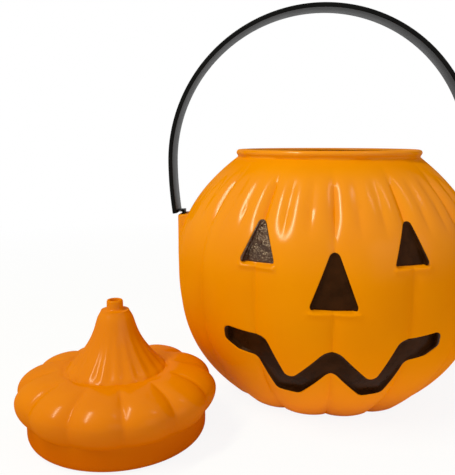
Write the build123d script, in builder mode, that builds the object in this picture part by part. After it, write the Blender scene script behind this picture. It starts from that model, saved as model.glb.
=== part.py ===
"""A blow-moulded pumpkin candy pail with a strap handle and a lift-off lid.

Millimetres. The pail stands on Z = 0 about the Z axis, and its face looks along -Y.
"""

import os
from math import acos, copysign, cos, degrees, radians, sin, sqrt, tan

from build123d import *

# Pail shell
body_radius = 105.0  # crest of the lobes at the widest place
widest_height = 89.0
base_radius = 63.5  # crest of the lobes where the pail stands
lower_fullness = 2.7  # power of the curve from the widest place down to the base
shoulder_height = 162.5
upper_fullness = 2.28  # power of the curve from the widest place up to the collar
wall = 1.8
body_sections = 6  # from the base to the widest place, and again up to the collar
base_crowding = 1.5  # power that draws the lower sections together at the base

# Ribs of the pail
lobe_count = 14
lobe_depth = 2.2  # valley below crest at the widest place
base_lobe_depth = 3.2
lobe_fade = 4.0  # power by which the valleys run out towards the collar
flutes_per_lobe = 3
flute_depth = 1.4  # fine flutes of the shoulder
flute_start = 114.0
flute_full = 142.0
flute_end = 159.0

# Collar, turned-in lip and mouth
collar_radius = 62.9
collar_height = 5.6
lip_round = 1.6
mouth_radius = 54.0

# Ledges that carry the handle
ledge_height = 122.0
ledge_reach = 104.7
ledge_depth = 50.0  # down to the lower end of the ledge, inside the body
ledge_corner = 5.0
ledge_margin = 3.9  # past the ends of the slot, besides the wall

# Handle
strap_width = 21.0
strap_thickness = 3.0
strap_edge_round = 0.6
arch_radius = 103.2  # middle of the strap's thickness
arch_height = 159.0  # centre of the arch
arch_shift = 6.0  # how far the arch stands over to the left
leg_end = 106.6  # where each leg ends, just outside its ledge
leg_gap = 0.8  # from the ledge's top up to the end of a leg
leg_lean = 8.0  # degrees by which the left leg leans inwards at its end
tongue_width = 7.0
tongue_thickness = 1.8
foot_thickness = 1.6  # the foot that joins a leg to its tongue
peg_radius = 2.0
peg_reach = 2.6
swing_limit = 25.0
slot_clearance = 0.4
slot_corner = 0.4
peg_clearance = 0.3

# Face: outlines as (X, Z), the nose and mouth from the middle of the pail outwards
eye_outline = [(33.0, 104.2), (39.8, 134.2), (54.7, 104.2)]
eye_round = 2.6
nose_outline = [(0.0, 79.9), (14.6, 80.3), (0.0, 119.3)]
nose_round = 3.2
mouth_outline = [  # with the radius of each corner
    (0.0, 60.2, 9.0),
    (24.3, 35.2, 4.5),
    (38.3, 62.0, 6.0),
    (63.4, 65.4, 3.0),
    (62.6, 56.4, 4.0),
    (54.0, 51.0, 6.0),
    (43.0, 48.6, 6.0),
    (30.6, 26.6, 4.5),
    (17.6, 25.4, 4.5),
    (0.0, 44.0, 5.0),
]
recess_depth = 3.0  # below the crests of the lobes
paint_thickness = 0.3

# Lid, standing beside the pail
lid_x = -127.0
lid_y = -92.7
lid_turn = 17.0  # from -Y towards +X to a valley of the ring
lid_lobes = 12
lid_lobe_depth = 2.4
lid_ring_radius = 59.6
lid_ring_width = 19.5  # from the crest circle out to the widest place
lid_ring_height = 27.2
lid_ring_rise = 15.5
lid_clearance = 1.0
lid_skirt_round = 12.0
lid_lip = 16.0
lid_dish_radius = 27.0
lid_dish_depth = 6.0
lid_dish_swell = 0.7  # height of the dish's wall half way out, as a share of its depth
ring_sections = 7
ring_squareness = 0.85  # power of the ring's round, 1 for an ellipse
ring_fade = 1.5  # sections past each end of the ring where its lobes would vanish

# Stem of the lid: a bell with a flared foot and a domed top, as (share of its height, radius)
stem_bell = [(0.0, 24.4), (0.18, 22.6), (0.34, 20.2), (0.5, 16.0), (0.64, 13.2), (0.8, 11.0), (0.92, 9.4), (1.0, 6.6)]
stem_top = 75.8
stem_flutes = 10
stem_flute_depth = 0.11  # share of the stem's own radius at its foot
stem_flute_reach = 0.65  # share of the stem's height where its flutes run out
nub_radius = 4.8
nub_height = 5.8
nub_bore = 3.0
nub_bore_depth = 4.0

# Values that follow from those above
overrun = 2 * wall  # how far a cutting or joining form runs past the skin that it meets
slot_width = tongue_thickness + 2 * slot_clearance
slot_middle = ledge_reach - wall - slot_width / 2
tongue_half = tongue_width / 2
pivot_height = ledge_height - wall - peg_clearance - peg_radius
ledge_over_pivot = ledge_height - pivot_height
swing_tan = tan(radians(swing_limit))
swing_cos = cos(radians(swing_limit))
slot_half = ledge_over_pivot * swing_tan + tongue_half / swing_cos + slot_clearance
ledge_half = slot_half + wall + ledge_margin
lid_skirt_radius = mouth_radius - lid_clearance
lid_crest_radius = lid_ring_radius - lid_ring_width
lid_crest_height = lid_ring_height + lid_ring_rise
lid_dish_height = lid_crest_height - lid_dish_depth
lid_plane = Plane((lid_x, lid_y, 0))
lid_upright = Plane((lid_x, lid_y, 0), x_dir=(1, 0, 0), z_dir=(0, -1, 0))
lid_axis = Axis((lid_x, lid_y, 0), (0, 0, 1))


def body_crest(height, inset):
    """Radius of the lobe crests at a height, for a skin that lies inset below the outside."""
    if height < widest_height:
        reach, narrowing, power = widest_height, body_radius - base_radius, lower_fullness
    else:
        reach, narrowing, power = shoulder_height - widest_height, body_radius - collar_radius, upper_fullness
    share = abs(height - widest_height) / reach
    slope = narrowing * power * share ** (power - 1) / reach
    return body_radius - narrowing * share**power - inset * sqrt(1 + slope**2)


def body_lobe(height):
    """Depth of the lobe valleys at a height: deepest at the base, none at the collar."""
    if height < widest_height:
        share = (widest_height - height) / widest_height
        return lobe_depth + (base_lobe_depth - lobe_depth) * share
    share = (height - widest_height) / (shoulder_height - widest_height)
    return lobe_depth * max(0.0, 1 - share**lobe_fade)


def body_flute(height):
    """Depth of the shoulder's fine flutes: none below flute_start, none above flute_end."""
    if height < flute_full:
        return flute_depth * max(0.0, (height - flute_start) / (flute_full - flute_start))
    return flute_depth * max(0.0, (flute_end - height) / (flute_end - flute_full))


def body_heights(bottom, top):
    """Heights of the sections of the pail, closer together where the base curves under."""
    shares = [step / body_sections for step in range(body_sections + 1)]
    below = [bottom + (widest_height - bottom) * share**base_crowding for share in shares[:-1]]
    above = [widest_height + (top - widest_height) * share for share in shares]
    return below + above


def lobed_solid(base_plane, stations, lobes, flutes, first_valley):
    """A loft through outlines of arcs: lobes from valley to valley, each split into flutes.

    Each station is a height, a crest radius, a lobe depth and a flute depth.
    """
    pieces = lobes * flutes
    with BuildPart() as solid:
        for height, crest, lobe, flute in stations:
            with BuildSketch(base_plane.offset(height)):
                with BuildLine():
                    for piece in range(pieces):
                        points = []
                        for place in (0.0, 0.5, 1.0):
                            across = 2 * (piece % flutes + place) / flutes - 1
                            radius = crest - lobe * across**2 - flute * (2 * place - 1) ** 2
                            angle = radians(first_valley + 360 * (piece + place) / pieces)
                            points.append((radius * cos(angle), radius * sin(angle)))
                        ThreePointArc(*points)
                make_face()
        loft()
    return solid.part


def lobed_body(inset, bottom, top, flutes):
    """The pail's lobed form between two heights, its skin inset below the outside."""
    stations = []
    for height in body_heights(bottom, top):
        flute = body_flute(height) if flutes > 1 else 0.0
        stations.append((height, body_crest(height, inset), body_lobe(height), flute))
    return lobed_solid(Plane.XY, stations, lobe_count, flutes, -90.0)


def smooth_body(inset, bottom, top):
    """The pail's form without lobes, its skin inset below the crests."""
    curve = [(body_crest(height, inset), height) for height in body_heights(bottom, top)]
    with BuildPart() as solid:
        with BuildSketch(Plane.XZ):
            with BuildLine():
                Spline(*curve)
                Polyline(curve[-1], (0, top), (0, bottom), curve[0])
            make_face()
        revolve(axis=Axis.Z)
    return solid.part


def forward_prism(shape, growth):
    """A face outline, grown or shrunk, carried forward from the pail's axis past the front."""
    with BuildPart() as prism:
        with BuildSketch(Plane.XZ):
            add(shape)
            if growth:
                offset(amount=growth)
        extrude(amount=body_radius + overrun)
    return prism.part


def ledge_bar(inset):
    """A bar across the pail whose two ends are the ledges, its skin inset below the outside."""
    with BuildPart() as bar:
        with BuildSketch(Plane.XY.offset(ledge_height - inset)):
            RectangleRounded(2 * (ledge_reach - inset), 2 * (ledge_half - inset), ledge_corner - inset)
        extrude(amount=inset - ledge_depth)
    return bar.part


def ring_stations(inset):
    """Sections of the lid's lobed ring, from its lower edge on the skirt up to its crest."""
    width, rise = lid_ring_width - inset, lid_ring_rise - inset
    lowest_share = (lid_skirt_radius - lid_ring_radius + lid_ring_width - wall) / lid_ring_width
    lowest = degrees(acos(lowest_share ** (1 / ring_squareness)))
    stations = []
    for step in range(ring_sections + 1):
        angle = radians(-lowest + (90 + lowest) * step / ring_sections)
        height = lid_ring_height + rise * copysign(abs(sin(angle)) ** ring_squareness, angle)
        depth = lid_lobe_depth * sin(radians(180 * (step + ring_fade) / (ring_sections + 2 * ring_fade)))
        stations.append((height, lid_crest_radius + width * abs(cos(angle)) ** ring_squareness, depth, 0.0))
    return stations


def dish_solid(drop):
    """What the dish takes out of the lid's crown, its floor lowered by drop."""
    floor = lid_dish_height - drop
    middle = ((lid_crest_radius + lid_dish_radius) / 2, floor + lid_dish_swell * lid_dish_depth)
    with BuildPart() as dish:
        with BuildSketch(lid_upright):
            with BuildLine():
                Line((0, floor), (lid_dish_radius, floor))
                ThreePointArc((lid_dish_radius, floor), middle, (lid_crest_radius, lid_crest_height - drop))
                Polyline(
                    (lid_crest_radius, lid_crest_height - drop),
                    (lid_crest_radius, lid_crest_height + overrun),
                    (0, lid_crest_height + overrun),
                    (0, floor),
                )
            make_face()
        revolve(axis=lid_axis)
    return dish.part


def stem_stations(inset, sunk):
    """Sections of the stem, from sunk below the dish floor up to its domed top."""
    bottom, top = lid_dish_height, stem_top - inset
    stations = [(bottom - sunk, stem_bell[0][1] - inset, stem_flute_depth * stem_bell[0][1], 0.0)]
    for share, radius in stem_bell[1:]:
        flute = stem_flute_depth * radius * max(0.0, 1 - share / stem_flute_reach)
        stations.append((bottom + (top - bottom) * share, radius - inset, flute, 0.0))
    return stations


os.makedirs("parts", exist_ok=True)

# Face outlines on the upright plane through the pail's axis
with BuildSketch(Plane.XZ) as right_eye:
    with BuildLine():
        Polyline(*eye_outline, close=True)
    make_face()
    fillet(right_eye.vertices(), eye_round)

with BuildSketch(Plane.XZ) as left_eye:
    add(mirror(right_eye.sketch, about=Plane.YZ, mode=Mode.PRIVATE))

with BuildSketch(Plane.XZ) as nose:
    with BuildLine():
        Polyline(*nose_outline)
        mirror(about=Plane.YZ)
    make_face()
    fillet(nose.vertices(), nose_round)

with BuildSketch(Plane.XZ) as mouth:
    with BuildLine():
        Polyline(*[(x, z) for x, z, turn in mouth_outline])
        mirror(about=Plane.YZ)
    make_face()
    for x, z, turn in mouth_outline:
        corners = [Vector(side * x, z) for side in (1, -1)]
        fillet([v for v in mouth.vertices() if any((v.center() - c).length < 0.01 for c in corners)], turn)

face_shapes = {
    "left_eye_paint": left_eye.sketch,
    "right_eye_paint": right_eye.sketch,
    "nose_paint": nose.sketch,
    "mouth_paint": mouth.sketch,
}
face_bottom = min(z for x, z, turn in mouth_outline) / 2
face_top = (max(z for x, z in eye_outline) + shoulder_height) / 2
recess_floor = smooth_body(recess_depth, face_bottom, face_top)
recess_back = smooth_body(recess_depth + wall, face_bottom, face_top)
paint_top = smooth_body(recess_depth - paint_thickness, face_bottom, face_top)

# Hollow of the pail, drawn in behind each recess of the face so that the wall stays even
with BuildPart() as recess_backs:
    for shape in face_shapes.values():
        add(forward_prism(shape, wall))
    add(recess_back, mode=Mode.SUBTRACT)

with BuildPart() as pail_hollow:
    add(lobed_body(wall, wall, shoulder_height, 1))
    add(recess_backs.part, mode=Mode.SUBTRACT)
    add(ledge_bar(wall))
    with BuildSketch(Plane.XY.offset(shoulder_height - overrun)):
        Circle(collar_radius - wall)
    extrude(amount=overrun + collar_height - wall)
    with BuildSketch(Plane.XY.offset(shoulder_height)):
        Circle(mouth_radius)
    extrude(amount=collar_height + overrun)

# Recesses of the face
with BuildPart() as recesses:
    for shape in face_shapes.values():
        add(forward_prism(shape, 0.0))
    add(recess_floor, mode=Mode.SUBTRACT)

# Pail shell
with BuildPart() as pail_body:
    add(lobed_body(0.0, 0.0, shoulder_height + wall, flutes_per_lobe))
    add(ledge_bar(0.0))
    with BuildSketch(Plane.XY.offset(shoulder_height - overrun)):
        Circle(collar_radius)
    extrude(amount=overrun + collar_height)
    fillet(pail_body.edges().group_by(Axis.Z)[-1], lip_round)
    add(recesses.part, mode=Mode.SUBTRACT)
    add(pail_hollow.part, mode=Mode.SUBTRACT)
    with BuildSketch(Plane.XY.offset(ledge_height - overrun)):
        with Locations((slot_middle, 0), (-slot_middle, 0)):
            RectangleRounded(slot_width, 2 * slot_half, slot_corner)
    extrude(amount=2 * overrun, mode=Mode.SUBTRACT)
pail_body.part.label = "pail_body"
export_step(pail_body.part, "parts/pail_body.step")

# Paint on the floors of the recesses
for name, shape in face_shapes.items():
    with BuildPart() as paint:
        add(forward_prism(shape, 0.0))
        add(paint_top, mode=Mode.INTERSECT)
        add(recess_floor, mode=Mode.SUBTRACT)
    paint.part.label = name
    export_step(paint.part, f"parts/{name}.step")

# Handle: one strap bent through an arch, each foot cut to two slopes so that it can swing
tongue_bottom = pivot_height - tongue_half
foot_base = pivot_height + (ledge_over_pivot + slot_clearance) / swing_cos
foot_side = foot_base + tongue_half * swing_tan
foot_top = foot_side + foot_thickness
leg_bottom = ledge_height + leg_gap
arch_right = arch_radius - arch_shift
arch_left = arch_radius + arch_shift
lean = (sin(radians(leg_lean)), -cos(radians(leg_lean)))

with BuildLine(Plane.XZ) as strap_path:
    Spline((-arch_left, arch_height), (-leg_end, leg_bottom), tangents=[(0, -1), lean])
    ThreePointArc((-arch_left, arch_height), (-arch_shift, arch_height + arch_radius), (arch_right, arch_height))
    Spline((arch_right, arch_height), (leg_end, leg_bottom), tangents=[(0, -1), (0, -1)])
strap_wire = strap_path.wire()

with BuildPart() as handle:
    with BuildSketch(Plane(strap_wire @ 0, x_dir=(0, 1, 0), z_dir=strap_wire % 0)):
        RectangleRounded(strap_width, strap_thickness, strap_edge_round)
    sweep(path=strap_wire)
    for side in (1, -1):
        tongue_middle = Plane.YZ.offset(side * slot_middle)
        with BuildSketch(tongue_middle):
            with BuildLine():
                ThreePointArc((-tongue_half, pivot_height), (0, tongue_bottom), (tongue_half, pivot_height))
                Polyline(
                    (tongue_half, pivot_height),
                    (tongue_half, foot_top),
                    (-tongue_half, foot_top),
                    (-tongue_half, pivot_height),
                )
            make_face()
        extrude(amount=tongue_thickness / 2, both=True)
        with BuildSketch(tongue_middle):
            with BuildLine():
                Polyline(
                    (0, foot_base),
                    (tongue_half, foot_side),
                    (tongue_half, foot_top),
                    (-tongue_half, foot_top),
                    (-tongue_half, foot_side),
                    close=True,
                )
            make_face()
        extrude(amount=side * (leg_end - slot_middle))
        with BuildSketch(tongue_middle):
            with Locations((0, pivot_height)):
                Circle(peg_radius)
        extrude(amount=-side * (tongue_thickness / 2 + peg_reach))
handle.part.label = "handle"
export_step(handle.part, "parts/handle.step")

# Lid: lobed ring on a plain skirt, with a dish and a fluted stem in its crown, hollow from below
with BuildPart() as lid_hollow:
    with BuildSketch(lid_plane.offset(wall)):
        Circle(lid_skirt_radius - wall)
    extrude(amount=ring_stations(wall)[1][0] - wall)
    fillet(lid_hollow.edges().group_by(Axis.Z)[0], lid_skirt_round - wall)
    add(lobed_solid(lid_plane, ring_stations(wall), lid_lobes, 1, lid_turn - 90))
    add(dish_solid(wall), mode=Mode.SUBTRACT)
    add(lobed_solid(lid_plane, stem_stations(wall, overrun), stem_flutes, 1, 0.0))
    with BuildSketch(lid_plane):
        Circle(lid_skirt_radius - lid_lip)
    extrude(amount=overrun)

with BuildPart() as lid:
    add(lobed_solid(lid_plane, ring_stations(0.0), lid_lobes, 1, lid_turn - 90))
    add(dish_solid(0.0), mode=Mode.SUBTRACT)
    add(lobed_solid(lid_plane, stem_stations(0.0, wall / 2), stem_flutes, 1, 0.0))
    with BuildSketch(lid_plane.offset(stem_top - nub_height)):
        Circle(nub_radius)
    extrude(amount=2 * nub_height)
    with BuildSketch(lid_plane):
        Circle(lid_skirt_radius)
    extrude(amount=ring_stations(0.0)[1][0])
    fillet(lid.edges().group_by(Axis.Z)[0], lid_skirt_round)
    add(lid_hollow.part, mode=Mode.SUBTRACT)
    with BuildSketch(lid_plane.offset(stem_top + nub_height - nub_bore_depth)):
        Circle(nub_bore)
    extrude(amount=2 * nub_bore_depth, mode=Mode.SUBTRACT)
lid.part.label = "lid"
export_step(lid.part, "parts/lid.step")
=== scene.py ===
"""The looks of the pumpkin candy pail: lobed shell, painted face, strap handle and stem lid."""

from math import acos, ceil, cos, degrees, hypot, pi, radians, sin, tan

import bpy
import numpy as np
from mathutils import Matrix, Vector


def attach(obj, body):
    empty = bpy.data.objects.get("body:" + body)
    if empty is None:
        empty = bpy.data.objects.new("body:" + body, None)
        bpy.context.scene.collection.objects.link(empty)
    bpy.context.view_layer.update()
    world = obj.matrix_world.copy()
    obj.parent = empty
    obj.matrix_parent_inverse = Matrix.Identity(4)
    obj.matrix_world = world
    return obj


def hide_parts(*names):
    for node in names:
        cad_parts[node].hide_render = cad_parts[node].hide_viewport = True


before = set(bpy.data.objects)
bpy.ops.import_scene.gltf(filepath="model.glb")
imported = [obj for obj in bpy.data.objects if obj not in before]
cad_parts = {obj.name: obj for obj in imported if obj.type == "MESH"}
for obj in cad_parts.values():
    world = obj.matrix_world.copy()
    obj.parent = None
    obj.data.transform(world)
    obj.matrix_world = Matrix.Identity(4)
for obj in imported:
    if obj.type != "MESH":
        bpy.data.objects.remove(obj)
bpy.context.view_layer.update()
mm = 0.001

# Pail shell, in millimetres as in the part's source
body_radius, widest_height, base_radius, lower_fullness = 105.0, 89.0, 63.5, 2.7
shoulder_height, upper_fullness, wall = 162.5, 2.28, 1.8
lobe_count, lobe_depth, base_lobe_depth, lobe_fade = 14, 2.2, 3.2, 4.0
crease_depth, crease_sharpness = 0.9, 8.0
flutes_per_lobe, flute_depth = 3, 1.7
flute_start, flute_full, flute_fall, flute_end = 117.0, 134.0, 145.0, 155.0
collar_radius = 62.9
bead_waves = [(0.2, 9, 40), (0.12, 23, 0)]  # depth, number and turn of the waves in the collar's bead
foot_rise, floor_rise = 0.5, 3.4  # where the outer and the inner wall start
pail_steps = 280  # faces round the pail

# Ledges and handle
ledge_height, ledge_reach, ledge_half, ledge_corner = 122.0, 104.7, 11.9, 5.0
ledge_fade, ledge_full = 84.0, 96.0  # where the ledges grow out of the body
ledge_edge, ledge_step, ledge_blend = 1.2, 0.15, 1.0  # round of the top edge, its step, and the fillet
slot_middle, slot_width, slot_half, slot_depth, slot_edge = 101.6, 2.6, 6.2, 8.0, 0.4
strap_width, strap_thickness, strap_edge_round = 21.0, 3.0, 0.6
arch_radius, arch_height, arch_shift = 103.2, 159.0, 6.0
leg_end, leg_bottom, leg_lean = 106.6, 122.8, 8.0
strap_steps, leg_steps, arch_steps = 180, 60, 400
tongue_half, tongue_thickness, peg_radius, peg_reach, peg_root = 3.5, 1.8, 2.0, 2.6, 1.0
pivot_height, foot_base, foot_top, foot_gap, swing_limit = 117.9, 122.87, 125.1, 0.2, 25.0

# Face: outlines as (X, Z, radius of the corner), the nose and mouth from the middle of the pail outwards
eye_corners = [(33.0, 104.2, 2.6), (39.8, 134.2, 2.6), (54.7, 104.2, 2.6)]
nose_corners = [(0.0, 79.9, 3.2), (14.6, 80.3, 3.2), (0.0, 119.3, 3.2)]
mouth_corners = [
    (0.0, 60.2, 9.0),
    (24.3, 35.2, 4.5),
    (38.3, 62.0, 6.0),
    (63.4, 65.4, 3.0),
    (62.6, 56.4, 4.0),
    (54.0, 51.0, 6.0),
    (43.0, 48.6, 6.0),
    (30.6, 26.6, 4.5),
    (17.6, 25.4, 4.5),
    (0.0, 44.0, 5.0),
]
recess_depth, recess_slope, recess_lead = 3.5, 1.7, 0.4  # the walls start a little outside the outlines
recess_back = 2.4  # how far round a recess the inner skin is drawn in
face_side, face_bottom, face_top = 68.0, 21.0, 136.0  # the part of the front that has finer faces
edge_inset, edge_reach = 0.5, 2.4  # the band along the outlines that has the finest faces

# Paint film: its grid, its first cut, how it rises off the recess along its edge, and its gap to a sill
film_grid, film_inset, film_foot, film_rise, film_edge = 0.5, 0.2, 0.05, 0.45, 0.5
film_thickness, film_gap = 0.3, 2.4

# Sills under the eyes and the nose: the middle, the height and half the width of each
sills = [(-43.9, 103.2, 12.6), (43.9, 103.2, 12.6), (0.0, 78.9, 17.0)]
sill_rise, sill_spread, sill_taper = 1.1, 1.3, 3.0

# Lid, standing beside the pail
lid_x, lid_y, lid_turn, lid_steps = -127.0, -92.7, 19.5, 288
lid_lobes, lid_lobe_depth, lid_lobe_start, lid_lobe_span, lid_lobe_fade = 12, 3.6, -70.0, 200.0, 6.0
lid_dip, lid_dip_reach, lid_dip_rise = 1.3, 10.0, 6.0  # how the creases run over the ring's top
lid_ring_radius, lid_ring_width, lid_ring_height, lid_ring_rise = 59.6, 24.6, 27.2, 13.5
lid_under_width, lid_under_drop = 19.5, 16.5  # the ring's round below its widest place
lid_dish_radius, lid_dish_depth = 31.5, 0.4
lid_skirt_radius, lid_skirt_top, lid_skirt_round, lid_lip = 53.0, 14.4, 6.0, 10.0
lid_crest_radius = lid_ring_radius - lid_ring_width
lid_crest_height = lid_ring_height + lid_ring_rise
lid_dish_height = lid_crest_height - lid_dish_depth

# Stem and nub: the stem as (share of its height, radius), the nub as (radius, depth below its top)
stem_bell = [(0.0, 31.0), (0.03, 28.2), (0.1, 25.6), (0.24, 21.6), (0.38, 18.0), (0.52, 15.0)]
stem_bell += [(0.66, 12.8), (0.8, 11.3), (0.9, 10.3), (0.96, 9.0), (1.0, 7.2)]
stem_foot, stem_top, stem_flutes, stem_turn = 31.0, 75.8, 20, 10.0
stem_flute_depth, stem_flute_start, stem_flute_reach = 0.035, 0.08, 0.75
nub_outline = [(0.0, 4.0), (2.0, 4.0), (2.8, 3.4), (3.0, 2.0), (3.1, 0.5), (3.4, 0.1), (3.9, 0.0)]
nub_outline += [(4.4, 0.2), (4.7, 0.8), (4.8, 2.0), (4.8, 4.2), (5.0, 5.2), (5.4, 5.7)]
nub_height = 5.8


def points_of(piece):
    """A piece's points, in millimetres."""
    flat = np.empty(len(piece.data.vertices) * 3)
    piece.data.vertices.foreach_get("co", flat)
    return flat.reshape(-1, 3) / mm


def place_points(piece, points):
    """Move a piece's points to new places, in millimetres."""
    piece.data.vertices.foreach_set("co", (points * mm).ravel())
    piece.data.update()


def fresh(operator, **settings):
    """A new primitive, alone in the selection."""
    bpy.ops.object.select_all(action="DESELECT")
    operator(**settings)
    return bpy.context.object


def pick(piece):
    """Make a piece the active object and the only selected one."""
    bpy.ops.object.select_all(action="DESELECT")
    piece.select_set(True)
    bpy.context.view_layer.objects.active = piece


def edit(piece):
    """Edit mode on one piece, with all of it selected."""
    pick(piece)
    bpy.ops.object.mode_set(mode="EDIT")
    bpy.ops.mesh.select_all(action="SELECT")


def leave_edit():
    """Back to object mode."""
    bpy.ops.object.mode_set(mode="OBJECT")


def lathe(name, profile, steps):
    """A profile of (radius, height) points spun round the Z axis into a closed skin."""
    piece = fresh(bpy.ops.mesh.primitive_plane_add, size=mm)
    piece.name = name
    edit(piece)
    bpy.ops.mesh.merge(type="CENTER")
    bpy.ops.transform.translate(value=(profile[0][0] * mm, 0, profile[0][1] * mm))
    for (radius, height), (next_radius, next_height) in zip(profile, profile[1:]):
        step = ((next_radius - radius) * mm, 0, (next_height - height) * mm)
        bpy.ops.mesh.extrude_vertices_move(TRANSFORM_OT_translate={"value": step})
    bpy.ops.mesh.select_all(action="SELECT")
    bpy.ops.mesh.spin(steps=steps, angle=2 * pi, center=(0, 0, 0), axis=(0, 0, 1))
    bpy.ops.mesh.select_all(action="SELECT")
    bpy.ops.mesh.remove_doubles(threshold=1e-6)
    bpy.ops.mesh.normals_make_consistent(inside=False)
    leave_edit()
    return piece


def refine(piece, wanted, cuts):
    """Subdivide the faces whose middle passes a test."""
    flat = np.empty(len(piece.data.polygons) * 3)
    piece.data.polygons.foreach_get("center", flat)
    chosen = wanted(flat.reshape(-1, 3) / mm)
    edit(piece)
    bpy.ops.mesh.select_mode(type="FACE")
    bpy.ops.mesh.select_all(action="DESELECT")
    leave_edit()
    piece.data.polygons.foreach_set("select", chosen)
    bpy.ops.object.mode_set(mode="EDIT")
    bpy.ops.mesh.subdivide(number_cuts=cuts)
    bpy.ops.mesh.select_mode(type="VERT")
    leave_edit()


def combine(piece, other, operation):
    """Take another form out of a piece or unite it with the piece, and throw the other form away."""
    pick(piece)
    boolean = piece.modifiers.new("combine", "BOOLEAN")
    boolean.operation = operation
    boolean.solver = "EXACT"
    boolean.object = other
    bpy.ops.object.modifier_apply(modifier="combine")
    bpy.data.objects.remove(other)


def smooth(piece, angle):
    """Smooth shading that keeps edges sharper than an angle."""
    pick(piece)
    bpy.ops.object.shade_smooth_by_angle(angle=radians(angle))


def ease(value):
    """A smooth step from 0 to 1."""
    value = np.clip(value, 0.0, 1.0)
    return value * value * (3 - 2 * value)


def rounded(corners, steps=6):
    """A closed outline with each corner, given as (X, Z, radius), turned by an arc."""
    outline = []
    for before, corner, after in zip(corners[-1:] + corners[:-1], corners, corners[1:] + corners[:1]):
        place, radius = Vector(corner[:2]), corner[2]
        back, on = (Vector(before[:2]) - place).normalized(), (Vector(after[:2]) - place).normalized()
        half = back.angle(on) / 2
        middle = place + (back + on).normalized() * radius / sin(half)
        start = place + back * radius / tan(half) - middle
        end = place + on * radius / tan(half) - middle
        for step in range(steps + 1):
            outline.append(tuple(middle + start.slerp(end, step / steps).normalized() * radius))
    return outline


def mirrored(corners):
    """The whole outline from its right half, which starts and ends on the middle line."""
    return corners + [(-x, z, radius) for x, z, radius in corners[-2:0:-1]]


def resampled(outline, spacing):
    """A closed outline with extra points, so that no two neighbours lie farther apart than spacing."""
    points = []
    for (ax, az), (bx, bz) in zip(outline, outline[1:] + outline[:1]):
        steps = max(1, ceil(hypot(bx - ax, bz - az) / spacing))
        for step in range(steps):
            points.append((ax + (bx - ax) * step / steps, az + (bz - az) * step / steps))
    return points


def inside_distance(outline, x, z):
    """How far points lie inside an outline, negative outside."""
    nearest = np.full(x.shape, np.inf)
    odd = np.zeros(x.shape, dtype=bool)
    for (ax, az), (bx, bz) in zip(outline, outline[1:] + outline[:1]):
        dx, dz = bx - ax, bz - az
        along = np.clip(((x - ax) * dx + (z - az) * dz) / (dx * dx + dz * dz + 1e-12), 0, 1)
        nearest = np.minimum(nearest, np.hypot(x - ax - along * dx, z - az - along * dz))
        if az != bz:
            odd ^= ((az > z) != (bz > z)) & (x < dx * (z - az) / dz + ax)
    return np.where(odd, nearest, -nearest)


right_eye = rounded(eye_corners)
left_eye = [(-x, z) for x, z in reversed(right_eye)]
nose = rounded(mirrored(nose_corners))
mouth = rounded(mirrored(mouth_corners))
face_shapes = {"left_eye": left_eye, "right_eye": right_eye, "nose": nose, "mouth": mouth}


def crest(height, inset=0.0):
    """Radius of the lobe crests at a height, for a skin that lies inset below the outside."""
    low = height < widest_height
    reach = np.where(low, widest_height, shoulder_height - widest_height)
    narrowing = np.where(low, body_radius - base_radius, body_radius - collar_radius)
    power = np.where(low, lower_fullness, upper_fullness)
    share = np.clip(np.abs(height - widest_height) / reach, 0, 1)
    slope = narrowing * power * share ** (power - 1) / reach
    return body_radius - narrowing * share**power - inset * np.sqrt(1 + slope**2)


def ribs(turn, height, fluted):
    """How far the lobes and the shoulder's flutes lie below the crests."""
    lobe_place = ((turn + 90) * lobe_count / 360) % 1
    low = np.clip((widest_height - height) / widest_height, 0, 1)
    high = np.clip((height - widest_height) / (shoulder_height - widest_height), 0, 1)
    lobe = lobe_depth + (base_lobe_depth - lobe_depth) * low - lobe_depth * high**lobe_fade
    off_crest = np.abs(2 * lobe_place - 1)
    depth = lobe * off_crest**2 + crease_depth * (1 - high**lobe_fade) * off_crest**crease_sharpness
    if fluted:
        flute_place = (lobe_place * flutes_per_lobe) % 1
        rise = ease((height - flute_start) / (flute_full - flute_start))
        fall = ease((flute_end - height) / (flute_end - flute_fall))
        depth = depth + flute_depth * rise * fall * (2 * flute_place - 1) ** 2
    return depth


def ledge_radius(turn, inset):
    """Radius of the rounded ledge outline in a direction."""
    reach, half, corner = ledge_reach - inset, ledge_half - inset, ledge_corner - inset
    out, side = np.abs(np.cos(np.radians(turn))), np.abs(np.sin(np.radians(turn))) + 1e-9
    face = reach / np.maximum(out, 1e-9)
    middle = out * (reach - corner) + side * (half - corner)
    spread = middle**2 - (reach - corner) ** 2 - (half - corner) ** 2 + corner**2
    bend = middle + np.sqrt(np.maximum(spread, 0))
    return np.where(face * side <= half - corner, face, np.where(spread >= 0, bend, half / side))


def either(first, second, blend):
    """The larger of two radii, with a soft fillet between them."""
    share = np.clip(0.5 + 0.5 * (first - second) / blend, 0, 1)
    return second + (first - second) * share + blend * share * (1 - share)


def with_ledge(radius, turn, height, inset):
    """The skin's radius with the two ledges standing out of it."""
    top = ledge_height - inset
    over_edge = np.clip(height - top + ledge_edge, 0, ledge_edge)
    drop = ledge_edge - np.sqrt(np.maximum(ledge_edge**2 - over_edge**2, 0))
    shelf = ledge_radius(turn, inset) - drop
    mask = np.clip((top + ledge_step - height) / (2 * ledge_step), 0, 1)
    mask = mask * ease((height - ledge_fade) / (ledge_full - ledge_fade))
    return radius + (either(shelf, radius, ledge_blend) - radius) * mask


def recess_share(x, height):
    """How much of the face's recess is reached: 0 outside, 1 on its floor."""
    share = np.zeros(x.shape)
    for outline in face_shapes.values():
        depth = inside_distance(outline, x, height) + recess_lead
        share = np.maximum(share, ease(depth / recess_slope))
    return share


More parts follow.
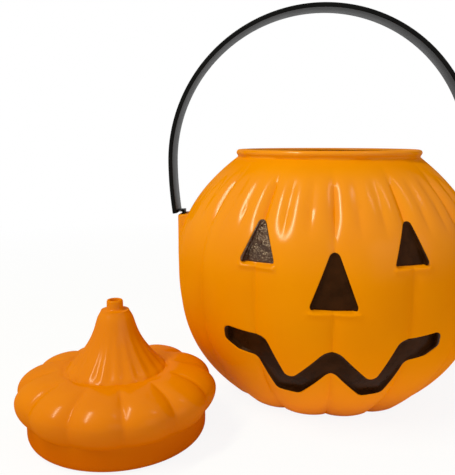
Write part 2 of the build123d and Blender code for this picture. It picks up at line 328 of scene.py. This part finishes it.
def pail_outside(turn, height):
    """Radius of the pail's outer skin."""
    turn, height = np.broadcast_arrays(np.asarray(turn, float), np.asarray(height, float))
    radius = crest(height) - ribs(turn, height, True)
    across, ahead = radius * np.cos(np.radians(turn)), -np.sin(np.radians(turn))
    for middle, level, half in sills:
        swell = np.exp(-(((height - level) / sill_spread) ** 2))
        swell = swell * ease((half - np.abs(across - middle)) / sill_taper)
        radius = radius + sill_rise * np.where(ahead > 0, swell, 0)
    front = (ahead > 0.5) & (height > face_bottom - 3) & (height < face_top + 4)
    if front.any():
        x = radius[front] * np.cos(np.radians(turn[front]))
        share = recess_share(x, height[front])
        radius[front] += share * (crest(height[front], recess_depth) - radius[front])
    return with_ledge(radius, turn, height, 0.0)


def pail_inside(turn, height):
    """Radius of the pail's inner skin, drawn in behind the face."""
    radius = crest(height, wall) - ribs(turn, height, False)
    x = radius * np.cos(np.radians(turn))
    front = np.sin(np.radians(turn)) < -0.5
    behind = np.zeros(radius.shape)
    for outline in face_shapes.values():
        near = inside_distance(outline, x, height) + recess_back
        behind = np.maximum(behind, ease(near / recess_back))
    behind = np.where(front, behind, 0)
    radius = radius + behind * (np.minimum(crest(height, recess_depth + wall), radius) - radius)
    return with_ledge(radius, turn, height, wall)


# Pail shell: a lathe-turned skin, made finer at the face and the ledges, then pressed into its form
lower_rows = np.linspace(0, 1, 44)[1:] ** 1.15 * (ledge_height - 2.0)
ledge_rows = ledge_height + np.array([-1.2, -0.7, -0.3, -0.15, 0.15, 0.5, 1.2])  # close, for a crisp edge
upper_rows = np.linspace(ledge_height + 3.0, shoulder_height - 0.4, 22)
outer_rows = np.concatenate([lower_rows, ledge_rows, upper_rows])
foot = [(0.0, 0.0), (20.0, 0.0), (40.0, 0.0), (52.0, 0.0), (58.0, 0.0), (61.0, 0.0)]
foot += [(62.6, 0.12), (63.6, foot_rise)]
outside = foot + [(float(crest(z)), float(z)) for z in outer_rows]
collar_bead = [(62.4, 162.9), (62.4, 163.6), (62.8, 164.4), (63.3, 165.2), (63.5, 166.0), (63.3, 166.8)]
collar_bead += [(62.8, 167.5), (61.9, 167.95), (60.4, 168.1)]
mouth_lip = [(57.0, 168.0), (55.2, 167.8), (54.3, 167.3), (54.0, 166.8), (54.2, 166.4), (55.0, 166.2)]
collar_back = [(58.0, 166.2), (60.4, 166.1), (61.0, 165.6), (61.1, 164.0)]
ledge_backs = ledge_height - wall + np.array([0.5, 0.15, -0.15, -0.7, -1.4])
inner_rows = np.concatenate([np.linspace(shoulder_height - 0.6, ledge_height, 16), ledge_backs])
inner_rows = np.concatenate([inner_rows, np.linspace(ledge_height - 5.0, floor_rise, 36)])
inside = [(float(crest(z, wall)), float(z)) for z in inner_rows]
floor_edge = inside[-1][0]
bottom = [(floor_edge - 1.6, 2.2), (floor_edge - 4.0, wall), (40.0, wall), (20.0, wall), (0.0, wall)]
pail_profile = outside + collar_bead + mouth_lip + collar_back + inside + bottom
pail_shell = lathe("pail_shell", pail_profile, pail_steps)


def polar(points):
    """The turn, radius and height of points round the Z axis."""
    x, y, height = points.T
    return np.degrees(np.arctan2(y, x)), np.hypot(x, y), height


def on_outside(points):
    """Which points lie on the pail's outer skin."""
    turn, radius, height = polar(points)
    return radius > crest(height, wall / 2)


def on_face(points):
    """Which points of the outer skin lie round the face."""
    x, y, height = points.T
    framed = (np.abs(x) < face_side) & (height > face_bottom) & (height < face_top)
    return on_outside(points) & (y < 0) & framed


def on_face_edges(points):
    """Which points of the outer skin lie along the edges of the face's shapes."""
    x, y, height = points.T
    near = np.zeros(x.shape, dtype=bool)
    for outline in face_shapes.values():
        near |= np.abs(inside_distance(outline, x, height) - edge_inset) < edge_reach
    return on_face(points) & near


def on_ledges(points):
    """Which points of the outer skin lie on and beside the upper parts of the ledges."""
    x, y, height = points.T
    beside = np.abs(y) < ledge_half + 5.1
    return on_outside(points) & beside & (height > ledge_full + 2) & (height < ledge_height + 2)


refine(pail_shell, on_face, 1)
refine(pail_shell, on_face_edges, 2)
refine(pail_shell, on_ledges, 2)

# Lobes, flutes, recesses, ledges and the collar's waviness
points = points_of(pail_shell)
turn, radius, height = polar(points)
sides = (height > foot_rise + 0.1) & (height < shoulder_height - 0.2)
outer = sides & on_outside(points)
inner = sides & ~outer & (height > floor_rise - 0.1)
base = ~sides & (height < 1)
pressed = radius.copy()
pressed[outer] = pail_outside(turn[outer], height[outer])
pressed[inner] = pail_inside(turn[inner], height[inner])
pressed[base] -= ribs(turn[base], height[base], False) * radius[base] / base_radius
bead = (height > shoulder_height + 1) & (radius > collar_radius - 1.5)
for depth, count, shift in bead_waves:
    pressed[bead] += depth * np.sin(np.radians(count * turn[bead] + shift))
points[:, 0] = pressed * np.cos(np.radians(turn))
points[:, 1] = pressed * np.sin(np.radians(turn))
place_points(pail_shell, points)

# Slots in the ledges for the handle's tongues
for side in (1, -1):
    slot_place = (side * slot_middle * mm, 0, ledge_height * mm)
    slot = fresh(bpy.ops.mesh.primitive_cube_add, size=mm, location=slot_place)
    edit(slot)
    bpy.ops.transform.resize(value=(slot_width, 2 * slot_half, slot_depth))
    bpy.ops.mesh.bevel(offset=slot_edge * mm, segments=2)
    leave_edit()
    combine(pail_shell, slot, "DIFFERENCE")
smooth(pail_shell, 50)


def paint_film(name, outline, gap):
    """Paint on the floor and walls of a recess, with a gap along its lower edge."""
    outline = resampled(outline, 2 * film_grid)
    count = len(outline)
    area = sum(a[0] * b[1] - b[0] * a[1] for a, b in zip(outline, outline[1:] + outline[:1]))
    sign = 1 if area > 0 else -1
    edge = []
    for index in range(count):
        before, after = Vector(outline[index - 1]), Vector(outline[(index + 1) % count])
        along = (after - before).normalized() * sign
        outward = Vector((along.y, -along.x))
        edge.append(Vector(outline[index]) - outward * gap * max(0.0, -outward.y - 0.5))
    film = fresh(bpy.ops.mesh.primitive_circle_add, vertices=count, radius=mm, fill_type="NGON")
    film.name = name
    place_points(film, np.array([(x, -body_radius, z) for x, z in edge]))
    edit(film)
    xs, zs = [x for x, z in edge], [z for x, z in edge]
    for cut in np.arange(min(xs) + film_inset, max(xs), film_grid):
        bpy.ops.mesh.select_all(action="SELECT")
        bpy.ops.mesh.bisect(plane_co=(cut * mm, 0, 0), plane_no=(1, 0, 0))
    for cut in np.arange(min(zs) + film_inset, max(zs), film_grid):
        bpy.ops.mesh.select_all(action="SELECT")
        bpy.ops.mesh.bisect(plane_co=(0, 0, cut * mm), plane_no=(0, 0, 1))
    bpy.ops.mesh.select_all(action="SELECT")
    bpy.ops.mesh.remove_doubles(threshold=0.02 * mm)
    bpy.ops.mesh.normals_make_consistent(inside=False)
    leave_edit()
    points = points_of(film)
    x, height = points[:, 0], points[:, 2]
    turn = np.full(x.shape, -90.0)
    for pass_number in range(8):
        radius = pail_outside(turn, height)
        turn = np.degrees(np.arcsin(np.clip(x / radius, -1, 1))) - 90
    edge_distance = inside_distance([tuple(p) for p in edge], x, height)
    raised = radius + film_foot + film_rise * ease(edge_distance / film_edge)
    points[:, 1] = -np.sqrt(np.maximum(raised**2 - x**2, 0))
    place_points(film, points)
    edit(film)
    bpy.ops.mesh.normals_make_consistent(inside=False)
    leave_edit()
    return film


paint_films = {
    "left_eye_paint": paint_film("left_eye_film", left_eye, film_gap),
    "right_eye_paint": paint_film("right_eye_film", right_eye, film_gap),
    "nose_paint": paint_film("nose_film", nose, film_gap),
    "mouth_paint": paint_film("mouth_film", mouth, 0.0),
}
for film in paint_films.values():
    forward = sum(polygon.normal.y for polygon in film.data.polygons) < 0
    if not forward:
        edit(film)
        bpy.ops.mesh.flip_normals()
        leave_edit()
    pick(film)
    thick = film.modifiers.new("film", "SOLIDIFY")
    thick.thickness = film_thickness * mm
    thick.offset = -1
    bpy.ops.object.modifier_apply(modifier="film")
    smooth(film, 60)


def bent(start, start_way, end, end_way, steps):
    """A curve between two points of the XZ plane that leaves and arrives in given ways."""
    share = np.linspace(0, 1, steps)[:, None]
    start, end = np.array(start), np.array(end)
    reach = np.linalg.norm(end - start)
    leave, arrive = np.array(start_way) * reach, np.array(end_way) * reach
    swell = ease(share)
    bow = share * (1 - share) * ((1 - share) * leave - share * arrive)
    return (1 - swell) * start + swell * end + bow


# Handle: a rounded bar drawn out straight, then laid along its left leg, its arch and its right leg
half_width, half_thick = strap_width / 2, strap_thickness / 2
bar_corners = [(1, 1), (-1, 1), (-1, -1), (1, -1)]
bar_outline = rounded([(x * half_width, z * half_thick, strap_edge_round) for x, z in bar_corners], 4)
lean = radians(leg_lean)
arch_turn = np.linspace(pi, 0, arch_steps)
arch_left, arch_right = (-arch_radius - arch_shift, arch_height), (arch_radius - arch_shift, arch_height)
left_leg = bent((-leg_end, leg_bottom), (-sin(lean), cos(lean)), arch_left, (0, 1), leg_steps)
arch_x = arch_radius * np.cos(arch_turn) - arch_shift
arch_z = arch_radius * np.sin(arch_turn) + arch_height
arch = np.stack([arch_x, arch_z], axis=1)
right_leg = bent(arch_right, (0, -1), (leg_end, leg_bottom), (0, -1), leg_steps)
strap_line = np.concatenate([left_leg, arch[1:], right_leg[1:]])
strap_reach = np.concatenate([[0], np.cumsum(np.linalg.norm(np.diff(strap_line, axis=0), axis=1))])
strap_way = np.gradient(strap_line, strap_reach, axis=0)
strap_way /= np.linalg.norm(strap_way, axis=1)[:, None]
strap_length = strap_reach[-1]
strap = fresh(bpy.ops.mesh.primitive_circle_add, vertices=len(bar_outline), radius=mm, fill_type="NGON")
strap.name = "strap"
place_points(strap, np.array([(0.0, across, out) for across, out in bar_outline]))
edit(strap)
for step in range(strap_steps):
    stride = {"value": (strap_length / strap_steps * mm, 0, 0)}
    bpy.ops.mesh.extrude_region_move(TRANSFORM_OT_translate=stride)
leave_edit()
points = points_of(strap)
along, across, out = points.T
line_x, line_z = [np.interp(along, strap_reach, column) for column in strap_line.T]
way_x, way_z = [np.interp(along, strap_reach, column) for column in strap_way.T]
place_points(strap, np.stack([line_x - out * way_z, across, line_z + out * way_x], axis=1))
edit(strap)
bpy.ops.mesh.normals_make_consistent(inside=False)
leave_edit()

# Foot, tongue and peg at each end of the strap
for side in (1, -1):
    tongue_bottom = pivot_height - tongue_half
    tongue = fresh(bpy.ops.mesh.primitive_cube_add, size=mm)
    tongue_middle = (side * slot_middle * mm, 0, (foot_top + tongue_bottom) / 2 * mm)
    edit(tongue)
    bpy.ops.transform.resize(value=(tongue_thickness, 2 * tongue_half, foot_top - tongue_bottom))
    bpy.ops.transform.translate(value=tongue_middle)
    bpy.ops.mesh.select_mode(type="EDGE")
    bpy.ops.mesh.select_all(action="DESELECT")
    leave_edit()
    for border in tongue.data.edges:
        ends = [tongue.data.vertices[index].co for index in border.vertices]
        low = all(end.z < pivot_height * mm for end in ends)
        border.select = low and abs(ends[0].x - ends[1].x) > mm
    bpy.ops.object.mode_set(mode="EDIT")
    bpy.ops.mesh.bevel(offset=(tongue_half - foot_gap) * mm, segments=8)
    bpy.ops.mesh.select_mode(type="VERT")
    leave_edit()
    combine(strap, tongue, "UNION")
    block = fresh(bpy.ops.mesh.primitive_cube_add, size=mm)
    edit(block)
    block_size = (leg_end - slot_middle, 2 * tongue_half - foot_gap, foot_top - foot_base - foot_gap)
    block_middle = (side * (leg_end + slot_middle) / 2 * mm, 0, (foot_top + foot_base) / 2 * mm)
    bpy.ops.transform.resize(value=block_size)
    bpy.ops.transform.translate(value=block_middle)
    for slant in (1, -1):
        bpy.ops.mesh.select_all(action="SELECT")
        slope = (0, slant * sin(radians(swing_limit)), cos(radians(swing_limit)))
        foot_place = (0, 0, foot_base * mm)
        bpy.ops.mesh.bisect(plane_co=foot_place, plane_no=slope, use_fill=True, clear_inner=True)
    leave_edit()
    combine(strap, block, "UNION")
    peg_size = {"radius": peg_radius * mm, "depth": (peg_reach + peg_root) * mm}
    peg = fresh(bpy.ops.mesh.primitive_cylinder_add, vertices=32, **peg_size)
    edit(peg)
    bpy.ops.transform.rotate(value=pi / 2, orient_axis="Y", center_override=(0, 0, 0))
    peg_middle = slot_middle - tongue_thickness / 2 - peg_reach / 2 + peg_root / 2
    bpy.ops.transform.translate(value=(side * peg_middle * mm, 0, pivot_height * mm))
    leave_edit()
    combine(strap, peg, "UNION")
smooth(strap, 35)


# Lid: one lathe-turned skin from the bore of the nub, down the stem, over the ring and up the inside
def bell(share):
    """Radius of the stem at a share of its height."""
    shares, radii = zip(*stem_bell)
    return np.interp(share, shares, radii)


def bell_rows(top, inset, rows):
    """The stem's skin from its domed top down to the dish, as a soft line through the bell."""
    fine = np.linspace(0, 1, 400)
    radii = bell(fine)
    blur_side = 18
    blur = np.ones(2 * blur_side + 1) / (2 * blur_side + 1)
    for pass_number in range(3):
        padded = np.pad(radii, blur_side, mode="edge")
        radii = np.convolve(padded, blur, mode="valid")
    shares = np.linspace(1, 0, rows)
    heights = lid_dish_height + (top - lid_dish_height) * shares
    return [(float(np.interp(s, fine, radii)) - inset, float(h)) for s, h in zip(shares, heights)]


def ring_rows(inset, first, last, rows):
    """The ring's skin between two angles of its round, which is rounder below its widest place."""
    angles = np.radians(np.linspace(first, last, rows))
    above = angles > 0
    width = np.where(above, lid_ring_width, lid_under_width)
    rise = np.where(above, lid_ring_rise, lid_under_drop)
    radii = lid_ring_radius - width + (width - inset) * np.cos(angles)
    heights = lid_ring_height + (rise - inset) * np.sin(angles)
    return list(zip(radii.tolist(), heights.tolist()))


def dish_rows(drop, rows):
    """The wall of the dish, from the foot of the stem out to the crest of the ring."""
    shares = np.linspace(0, 1, rows)
    radii = lid_dish_radius + (lid_crest_radius - lid_dish_radius) * shares
    rise = np.sin(shares * pi / 2) ** 1.15
    return [(float(r), float(lid_dish_height - drop + lid_dish_depth * s)) for r, s in zip(radii, rise)]


def skirt_round(radius, first, last):
    """The skirt's rounded lower edge, for a skin with a given radius of the round."""
    turns = np.radians(np.linspace(first, last, 9))
    foot_radius = lid_skirt_radius - lid_skirt_round
    return [(foot_radius + radius * sin(t), lid_skirt_round - radius * cos(t)) for t in turns]


skirt_meets = -degrees(acos((lid_skirt_radius - lid_ring_radius + lid_under_width) / lid_under_width))
lip_radius = lid_skirt_radius - lid_lip
nub_top = stem_top + nub_height
nub = [(radius, nub_top - depth) for radius, depth in nub_outline]
stem_outside = bell_rows(stem_top - 0.3, 0.0, 44)
dish_floor = [(stem_foot + 0.3, lid_dish_height)]
ring_outside = ring_rows(0.0, 88, skirt_meets, 40)
lip_edge = [(0.8, 0.0), (0.2, 0.25), (0.0, 0.9), (0.2, 1.55), (0.8, wall)]
skirt = [(lid_skirt_radius, lid_skirt_top)] + skirt_round(lid_skirt_round, 90, 0)
skirt += [(lip_radius + back, level) for back, level in lip_edge]
skirt += skirt_round(lid_skirt_round - wall, 0, 90) + [(lid_skirt_radius - wall, lid_skirt_top - 0.4)]
ring_inside = ring_rows(wall, skirt_meets + 4, 88, 24)
dish_under = list(reversed(dish_rows(wall, 8)))
stem_inside = list(reversed(bell_rows(stem_top - wall, wall, 26)))
lid_profile = nub + stem_outside + dish_floor + dish_rows(0.0, 14) + ring_outside + skirt
lid_profile += ring_inside + dish_under + stem_inside + [(0.0, stem_top - wall)]
lid_shell = lathe("lid_shell", lid_profile, lid_steps)

# Lobes of the ring down to the skirt, flutes of the stem, and creases over the ring's top
points = points_of(lid_shell)
turn, radius, height = polar(points)
round_rise = (height - lid_ring_height) / lid_ring_rise
round_reach = (radius - lid_crest_radius) / lid_ring_width
round_angle = np.degrees(np.arctan2(round_rise, round_reach))
round_share = np.clip((round_angle - lid_lobe_start) / lid_lobe_span, 0, 1)
ring_place = ((turn - lid_turn + 90) * lid_lobes / 360) % 1
ring_lobe = lid_lobe_depth * np.sin(np.pi * round_share) * (2 * ring_place - 1) ** 2
on_ring = (radius > lid_crest_radius - lid_lobe_fade) & (height > lid_skirt_top + 0.1)
fade = ease((radius - lid_crest_radius + lid_lobe_fade) / lid_lobe_fade)
ring_pressed = radius - ring_lobe * fade
over_skirt = np.maximum(ring_pressed, np.minimum(radius, lid_skirt_radius))
skirted = np.where(height < lid_ring_height, over_skirt, ring_pressed)
stem_share = np.clip((height - lid_dish_height) / (stem_top - lid_dish_height), 0, 1)
stem_place = ((turn + stem_turn) * stem_flutes / 360) % 1
stem_fade = ease(stem_share / stem_flute_start) * np.clip(1 - stem_share / stem_flute_reach, 0, 1)
stem_flute = stem_flute_depth * radius * stem_fade * (0.5 + 0.5 * np.cos(2 * np.pi * stem_place))
on_stem = (radius < stem_foot) & (height > lid_dish_height - 3) & (height < stem_top)
pressed = np.where(on_ring, skirted, np.where(on_stem, radius - stem_flute, radius))
on_top = on_ring & (height > lid_ring_height)
dip = lid_dip * (2 * ring_place - 1) ** 4 * ease((radius - lid_crest_radius) / lid_dip_reach)
dip = dip * ease((height - lid_ring_height) / lid_dip_rise)
points[:, 2] -= np.where(on_top, dip, 0)
points[:, 0] = pressed * np.cos(np.radians(turn)) + lid_x
points[:, 1] = pressed * np.sin(np.radians(turn)) + lid_y
place_points(lid_shell, points)
smooth(lid_shell, 50)


class Signal:
    """A shader socket that takes part in Python expressions."""

    def __init__(self, finish, socket):
        self.finish, self.socket = finish, socket

    def maths(self, operation, *values):
        """A new signal from a maths node."""
        return self.finish.node("ShaderNodeMath", {"operation": operation}, dict(enumerate(values)))

    def __add__(self, other):
        return self.maths("ADD", self, other)

    def __sub__(self, other):
        return self.maths("SUBTRACT", self, other)

    def __rsub__(self, other):
        return self.maths("SUBTRACT", other, self)

    def __mul__(self, other):
        return self.maths("MULTIPLY", self, other)

    __radd__, __rmul__ = __add__, __mul__


class Finish:
    """A material whose nodes are added one by one."""

    def __init__(self, name):
        self.material = bpy.data.materials.new(name)
        self.material.use_nodes = True
        self.tree = self.material.node_tree
        self.shader = self.tree.nodes["Principled BSDF"]
        self.place = self.node("ShaderNodeTexCoord", {}, {}, "Object")

    def node(self, kind, settings, sockets, output=0):
        """Add a node with its settings and inputs, and return one of its outputs."""
        made = self.tree.nodes.new(kind)
        for name, value in settings.items():
            if name == "stops":
                for stop, (position, colour) in zip(made.color_ramp.elements, value):
                    stop.position, stop.color = position, colour
            else:
                setattr(made, name, value)
        for name, value in sockets.items():
            self.feed(made.inputs[name], value)
        return Signal(self, made.outputs[output])

    def feed(self, socket, value):
        """Give an input a signal or a plain value."""
        if isinstance(value, Signal):
            self.tree.links.new(value.socket, socket)
        else:
            socket.default_value = value

    def set(self, **values):
        """Feed inputs of the surface shader, named with _ for each space."""
        for name, value in values.items():
            self.feed(self.shader.inputs[name.replace("_", " ")], value)

    def noise(self, scale, detail=2.0, stretch=(1, 1, 1)):
        """Cloudy noise, longer along an axis whose stretch is below 1."""
        spread = self.node("ShaderNodeMapping", {}, {"Vector": self.place, "Scale": stretch})
        return self.node("ShaderNodeTexNoise", {}, {"Vector": spread, "Scale": scale, "Detail": detail})

    def blend(self, share, first, second):
        """A share of the second colour mixed into the first."""
        sockets = {"Factor": share, 6: first, 7: second}
        return self.node("ShaderNodeMix", {"data_type": "RGBA"}, sockets, 2)

    def ramp(self, share, low, high):
        """A signal that grows from 0 at low to 1 at high."""
        stops = [(low, (0, 0, 0, 1)), (high, (1, 1, 1, 1))]
        return self.node("ShaderNodeValToRGB", {"stops": stops}, {"Fac": share})

    def bump(self, height, strength, distance):
        """Fine relief in the shading only."""
        sockets = {"Height": height, "Strength": strength, "Distance": distance}
        self.set(Normal=self.node("ShaderNodeBump", {}, sockets))


# Heights in metres where the sheen near the ground ends, and where the collar's gloss starts
sheen_band, collar_band = (0.015, 0.05), (0.163, 0.1645)


def moulded_orange(name, colour, deep, low, painted_low_band, gloss, haze, under, polish_band):
    """Blow-moulded orange plastic: clouding, thin runs, a colour low down that is painted light and
    shade, and a polished band.
    """
    finish = Finish(name)
    cloud = finish.ramp(finish.noise(24, 3), 0.35, 0.7)
    runs = finish.ramp(finish.noise(60, 3, (1, 1, 0.12)), 0.4, 0.75)
    height = finish.node("ShaderNodeSeparateXYZ", {}, {0: finish.place}, 2)
    # Painted light and shade: below the band the low colour, which paints the light falling low down,
    # replaces the plastic's own colour
    tone_with_painted_low = finish.blend(finish.ramp(height, *painted_low_band), low, finish.blend(cloud * 0.5, colour, deep))
    finish.set(Base_Color=finish.blend(runs * 0.18, tone_with_painted_low, deep))
    dull_below, gloss_from, gloss_to, dull_above = polish_band
    polished = finish.ramp(height, dull_below, gloss_from)
    polished = polished * (1 - finish.ramp(height, gloss_to, dull_above))
    ends = under * (1 - finish.ramp(height, *sheen_band)) + gloss * finish.ramp(height, *collar_band)
    finish.set(Roughness=0.4 + 0.08 * cloud, Specular_IOR_Level=0.0)
    finish.set(Coat_Weight=0.005 + ends + polished * gloss * (1 + 0.25 * cloud))
    finish.set(Coat_IOR=3.0, Coat_Roughness=haze)
    finish.bump(finish.noise(420, 2) + 1.6 * finish.noise(90, 2), 0.06, 0.0006)
    return finish.material


def satin_black(name):
    """Black moulded strap: satin, with fine length-wise drag marks and dusty clouding."""
    finish = Finish(name)
    cloud = finish.noise(70, 4)
    dust = finish.ramp(cloud, 0.4, 0.8)
    finish.set(Base_Color=finish.blend(dust, (0.002, 0.002, 0.002, 1), (0.006, 0.006, 0.006, 1)))
    finish.set(Roughness=0.3 + 0.16 * cloud)
    finish.set(Specular_IOR_Level=0.07)
    finish.bump(finish.noise(900, 3, (1, 0.25, 1)), 0.1, 0.0004)
    return finish.material


def face_brown(name, pebbling, shine):
    """Dark glossy paint that dried with a more or less pebbled skin and is thinner in places."""
    finish = Finish(name)
    pool = finish.ramp(finish.noise(130, 3), 0.35, 0.75)
    pebbles = finish.noise(480, 2)
    finish.set(Base_Color=finish.blend(pool, (0.024, 0.008, 0.002, 1), (0.042, 0.014, 0.004, 1)))
    finish.set(Roughness=0.24 + 0.16 * pool)
    finish.set(Specular_IOR_Level=shine, Specular_Tint=(1, 0.72, 0.55, 1))
    finish.bump(pebbles + 1.2 * finish.noise(190, 2), pebbling, 0.0012)
    return finish.material


def paper_white(name):
    """Pale floor: nearly white to the camera, with the soft shadow left on it."""
    finish = Finish(name)
    grain = finish.noise(6, 2)
    finish.set(Base_Color=finish.blend(grain, (0.95, 0.95, 0.95, 1), (0.98, 0.98, 0.98, 1)))
    finish.set(Roughness=0.9, Specular_IOR_Level=0.1)
    path = finish.tree.nodes.new("ShaderNodeLightPath")
    seen = Signal(finish, path.outputs["Is Camera Ray"]) + Signal(finish, path.outputs["Is Glossy Ray"])
    seen = seen + Signal(finish, path.outputs["Is Transmission Ray"])
    glow = finish.node("ShaderNodeEmission", {}, {"Color": (1, 1, 1, 1), "Strength": 1.0})
    plain = Signal(finish, finish.shader.outputs[0])
    distance = finish.node("ShaderNodeVectorMath", {"operation": "LENGTH"}, {0: finish.place}, 1)
    bright = 0.9 + 0.1 * finish.ramp(distance, 0.3, 0.9)
    clamped = {"operation": "MULTIPLY", "use_clamp": True}
    share = finish.node("ShaderNodeMath", clamped, {0: seen, 1: bright})
    mixed = finish.node("ShaderNodeMixShader", {}, {0: share, 1: plain, 2: glow})
    finish.tree.links.new(mixed.socket, finish.tree.nodes["Material Output"].inputs[0])
    return finish.material


def dress(piece, material, body, node):
    """Give a piece its material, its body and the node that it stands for."""
    piece.data.materials.clear()
    piece.data.materials.append(material)
    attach(piece, body)
    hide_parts(node)


shell_orange = moulded_orange(
    "shell_orange",
    colour=(0.83, 0.28, 0.0, 1),
    deep=(0.77, 0.235, 0.0, 1),
    # Painted light: a brighter colour low on the pail stands in for light bounced up from the floor
    low=(0.97, 0.31, 0.0, 1),
    painted_low_band=(0.02, 0.068),
    gloss=0.06,
    haze=0.19,
    under=0.04,
    polish_band=(0.095, 0.125, 0.15, 0.158),
)
lid_orange = moulded_orange(
    "lid_orange",
    colour=(0.76, 0.225, 0.0, 1),
    # Painted shade: a darker colour on the skirt stands in for the ring's shadow on it
    deep=(0.66, 0.17, 0.0, 1),
    low=(0.57, 0.122, 0.0, 1),
    painted_low_band=(0.01, 0.036),
    gloss=0.034,
    haze=0.18,
    under=0.0,
    polish_band=(0.014, 0.036, 0.076, 0.084),
)
strap_black = satin_black("strap_black")
pebbled_brown = face_brown("pebbled_brown", 1.0, 0.7)
smooth_brown = face_brown("smooth_brown", 0.15, 0.05)
dress(pail_shell, shell_orange, "pail", "pail_body")
dress(lid_shell, lid_orange, "lid", "lid")
dress(strap, strap_black, "handle", "handle")
for node, film in paint_films.items():
    brown = pebbled_brown if node == "left_eye_paint" else smooth_brown
    dress(film, brown, "pail", node)

# Floor, light and camera
unseen_level, unseen_tone = 0.37, (1, 0.92, 0.85, 1)  # how the surroundings light the object
seen_level, seen_tone = 1.0, (1, 1, 1, 1)  # how they look
floor = fresh(bpy.ops.mesh.primitive_circle_add, vertices=96, radius=4.0, fill_type="NGON")
floor.name = "floor"
floor.data.materials.append(paper_white("paper_white"))

world = bpy.data.worlds.new("studio")
bpy.context.scene.world = world
world.use_nodes = True
sky = world.node_tree
background = sky.nodes["Background"]
path = sky.nodes.new("ShaderNodeLightPath")
either_ray = sky.nodes.new("ShaderNodeMath")
either_ray.operation = "MAXIMUM"
sky.links.new(path.outputs["Is Camera Ray"], either_ray.inputs[0])
sky.links.new(path.outputs["Is Transmission Ray"], either_ray.inputs[1])
seen = sky.nodes.new("ShaderNodeMath")
seen.operation = "MAXIMUM"
sky.links.new(either_ray.outputs[0], seen.inputs[0])
sky.links.new(path.outputs["Is Glossy Ray"], seen.inputs[1])
level = sky.nodes.new("ShaderNodeMapRange")
level.inputs["To Min"].default_value = unseen_level
level.inputs["To Max"].default_value = seen_level
sky.links.new(seen.outputs[0], level.inputs["Value"])
sky.links.new(level.outputs["Result"], background.inputs["Strength"])
tone = sky.nodes.new("ShaderNodeMix")
tone.data_type = "RGBA"
tone.inputs[6].default_value, tone.inputs[7].default_value = unseen_tone, seen_tone
sky.links.new(seen.outputs[0], tone.inputs["Factor"])
sky.links.new(tone.outputs[2], background.inputs["Color"])


def softbox(name, place, target, length_way, width, length, power, colour):
    """A rectangular lamp that looks at a target, with its long side in a given way."""
    lamp = bpy.data.objects.new(name, bpy.data.lights.new(name, "AREA"))
    bpy.context.scene.collection.objects.link(lamp)
    lamp.data.shape = "RECTANGLE"
    lamp.data.size, lamp.data.size_y, lamp.data.energy, lamp.data.color = width, length, power, colour
    back = (Vector(place) - Vector(target)).normalized()
    side = Vector(length_way).cross(back).normalized()
    turned = Matrix((side, back.cross(side), back)).transposed().to_4x4()
    lamp.matrix_world = Matrix.Translation(place) @ turned


softbox(
    "key",
    place=(-0.72, -0.54, 1.19),
    target=(-0.03, -0.02, 0.09),
    length_way=(0.217, 0.833, 0.507),
    width=0.1,
    length=0.9,
    power=13.4,
    colour=(0.98, 1, 0.75),
)
softbox(
    "fill",
    place=(0.9, -0.9, 0.4),
    target=(0.0, 0.0, 0.1),
    length_way=(0, 0, 1),
    width=0.9,
    length=0.9,
    power=2.2,
    colour=(1, 0.86, 0.8),
)
softbox(
    "strip",
    place=(0.74, -0.22, 1.33),
    target=(0.03, -0.08, 0.13),
    length_way=(0, 0, 1),
    width=0.08,
    length=0.4,
    power=1.3,
    colour=(1, 0.8, 0.72),
)


def photo_camera(place, pan, pitch, lens):
    """A level camera, turned by pan from +Y towards +X and by pitch downwards."""
    pan, pitch = radians(pan), radians(pitch)
    ahead = Vector((sin(pan) * cos(pitch), cos(pan) * cos(pitch), -sin(pitch)))
    right = Vector((cos(pan), -sin(pan), 0))
    camera = bpy.data.objects.new("camera", bpy.data.cameras.new("camera"))
    bpy.context.scene.collection.objects.link(camera)
    turned = Matrix((right, right.cross(ahead), -ahead)).transposed().to_4x4()
    camera.matrix_world = Matrix.Translation(place) @ turned
    camera.data.sensor_fit = "VERTICAL"
    camera.data.sensor_height = 36
    camera.data.lens = lens
    bpy.context.scene.camera = camera


photo_camera(place=(-0.0246, -0.4254, 0.1748), pan=-6.08, pitch=9.34, lens=45.22)
bpy.context.scene.view_settings.view_transform = "Standard"
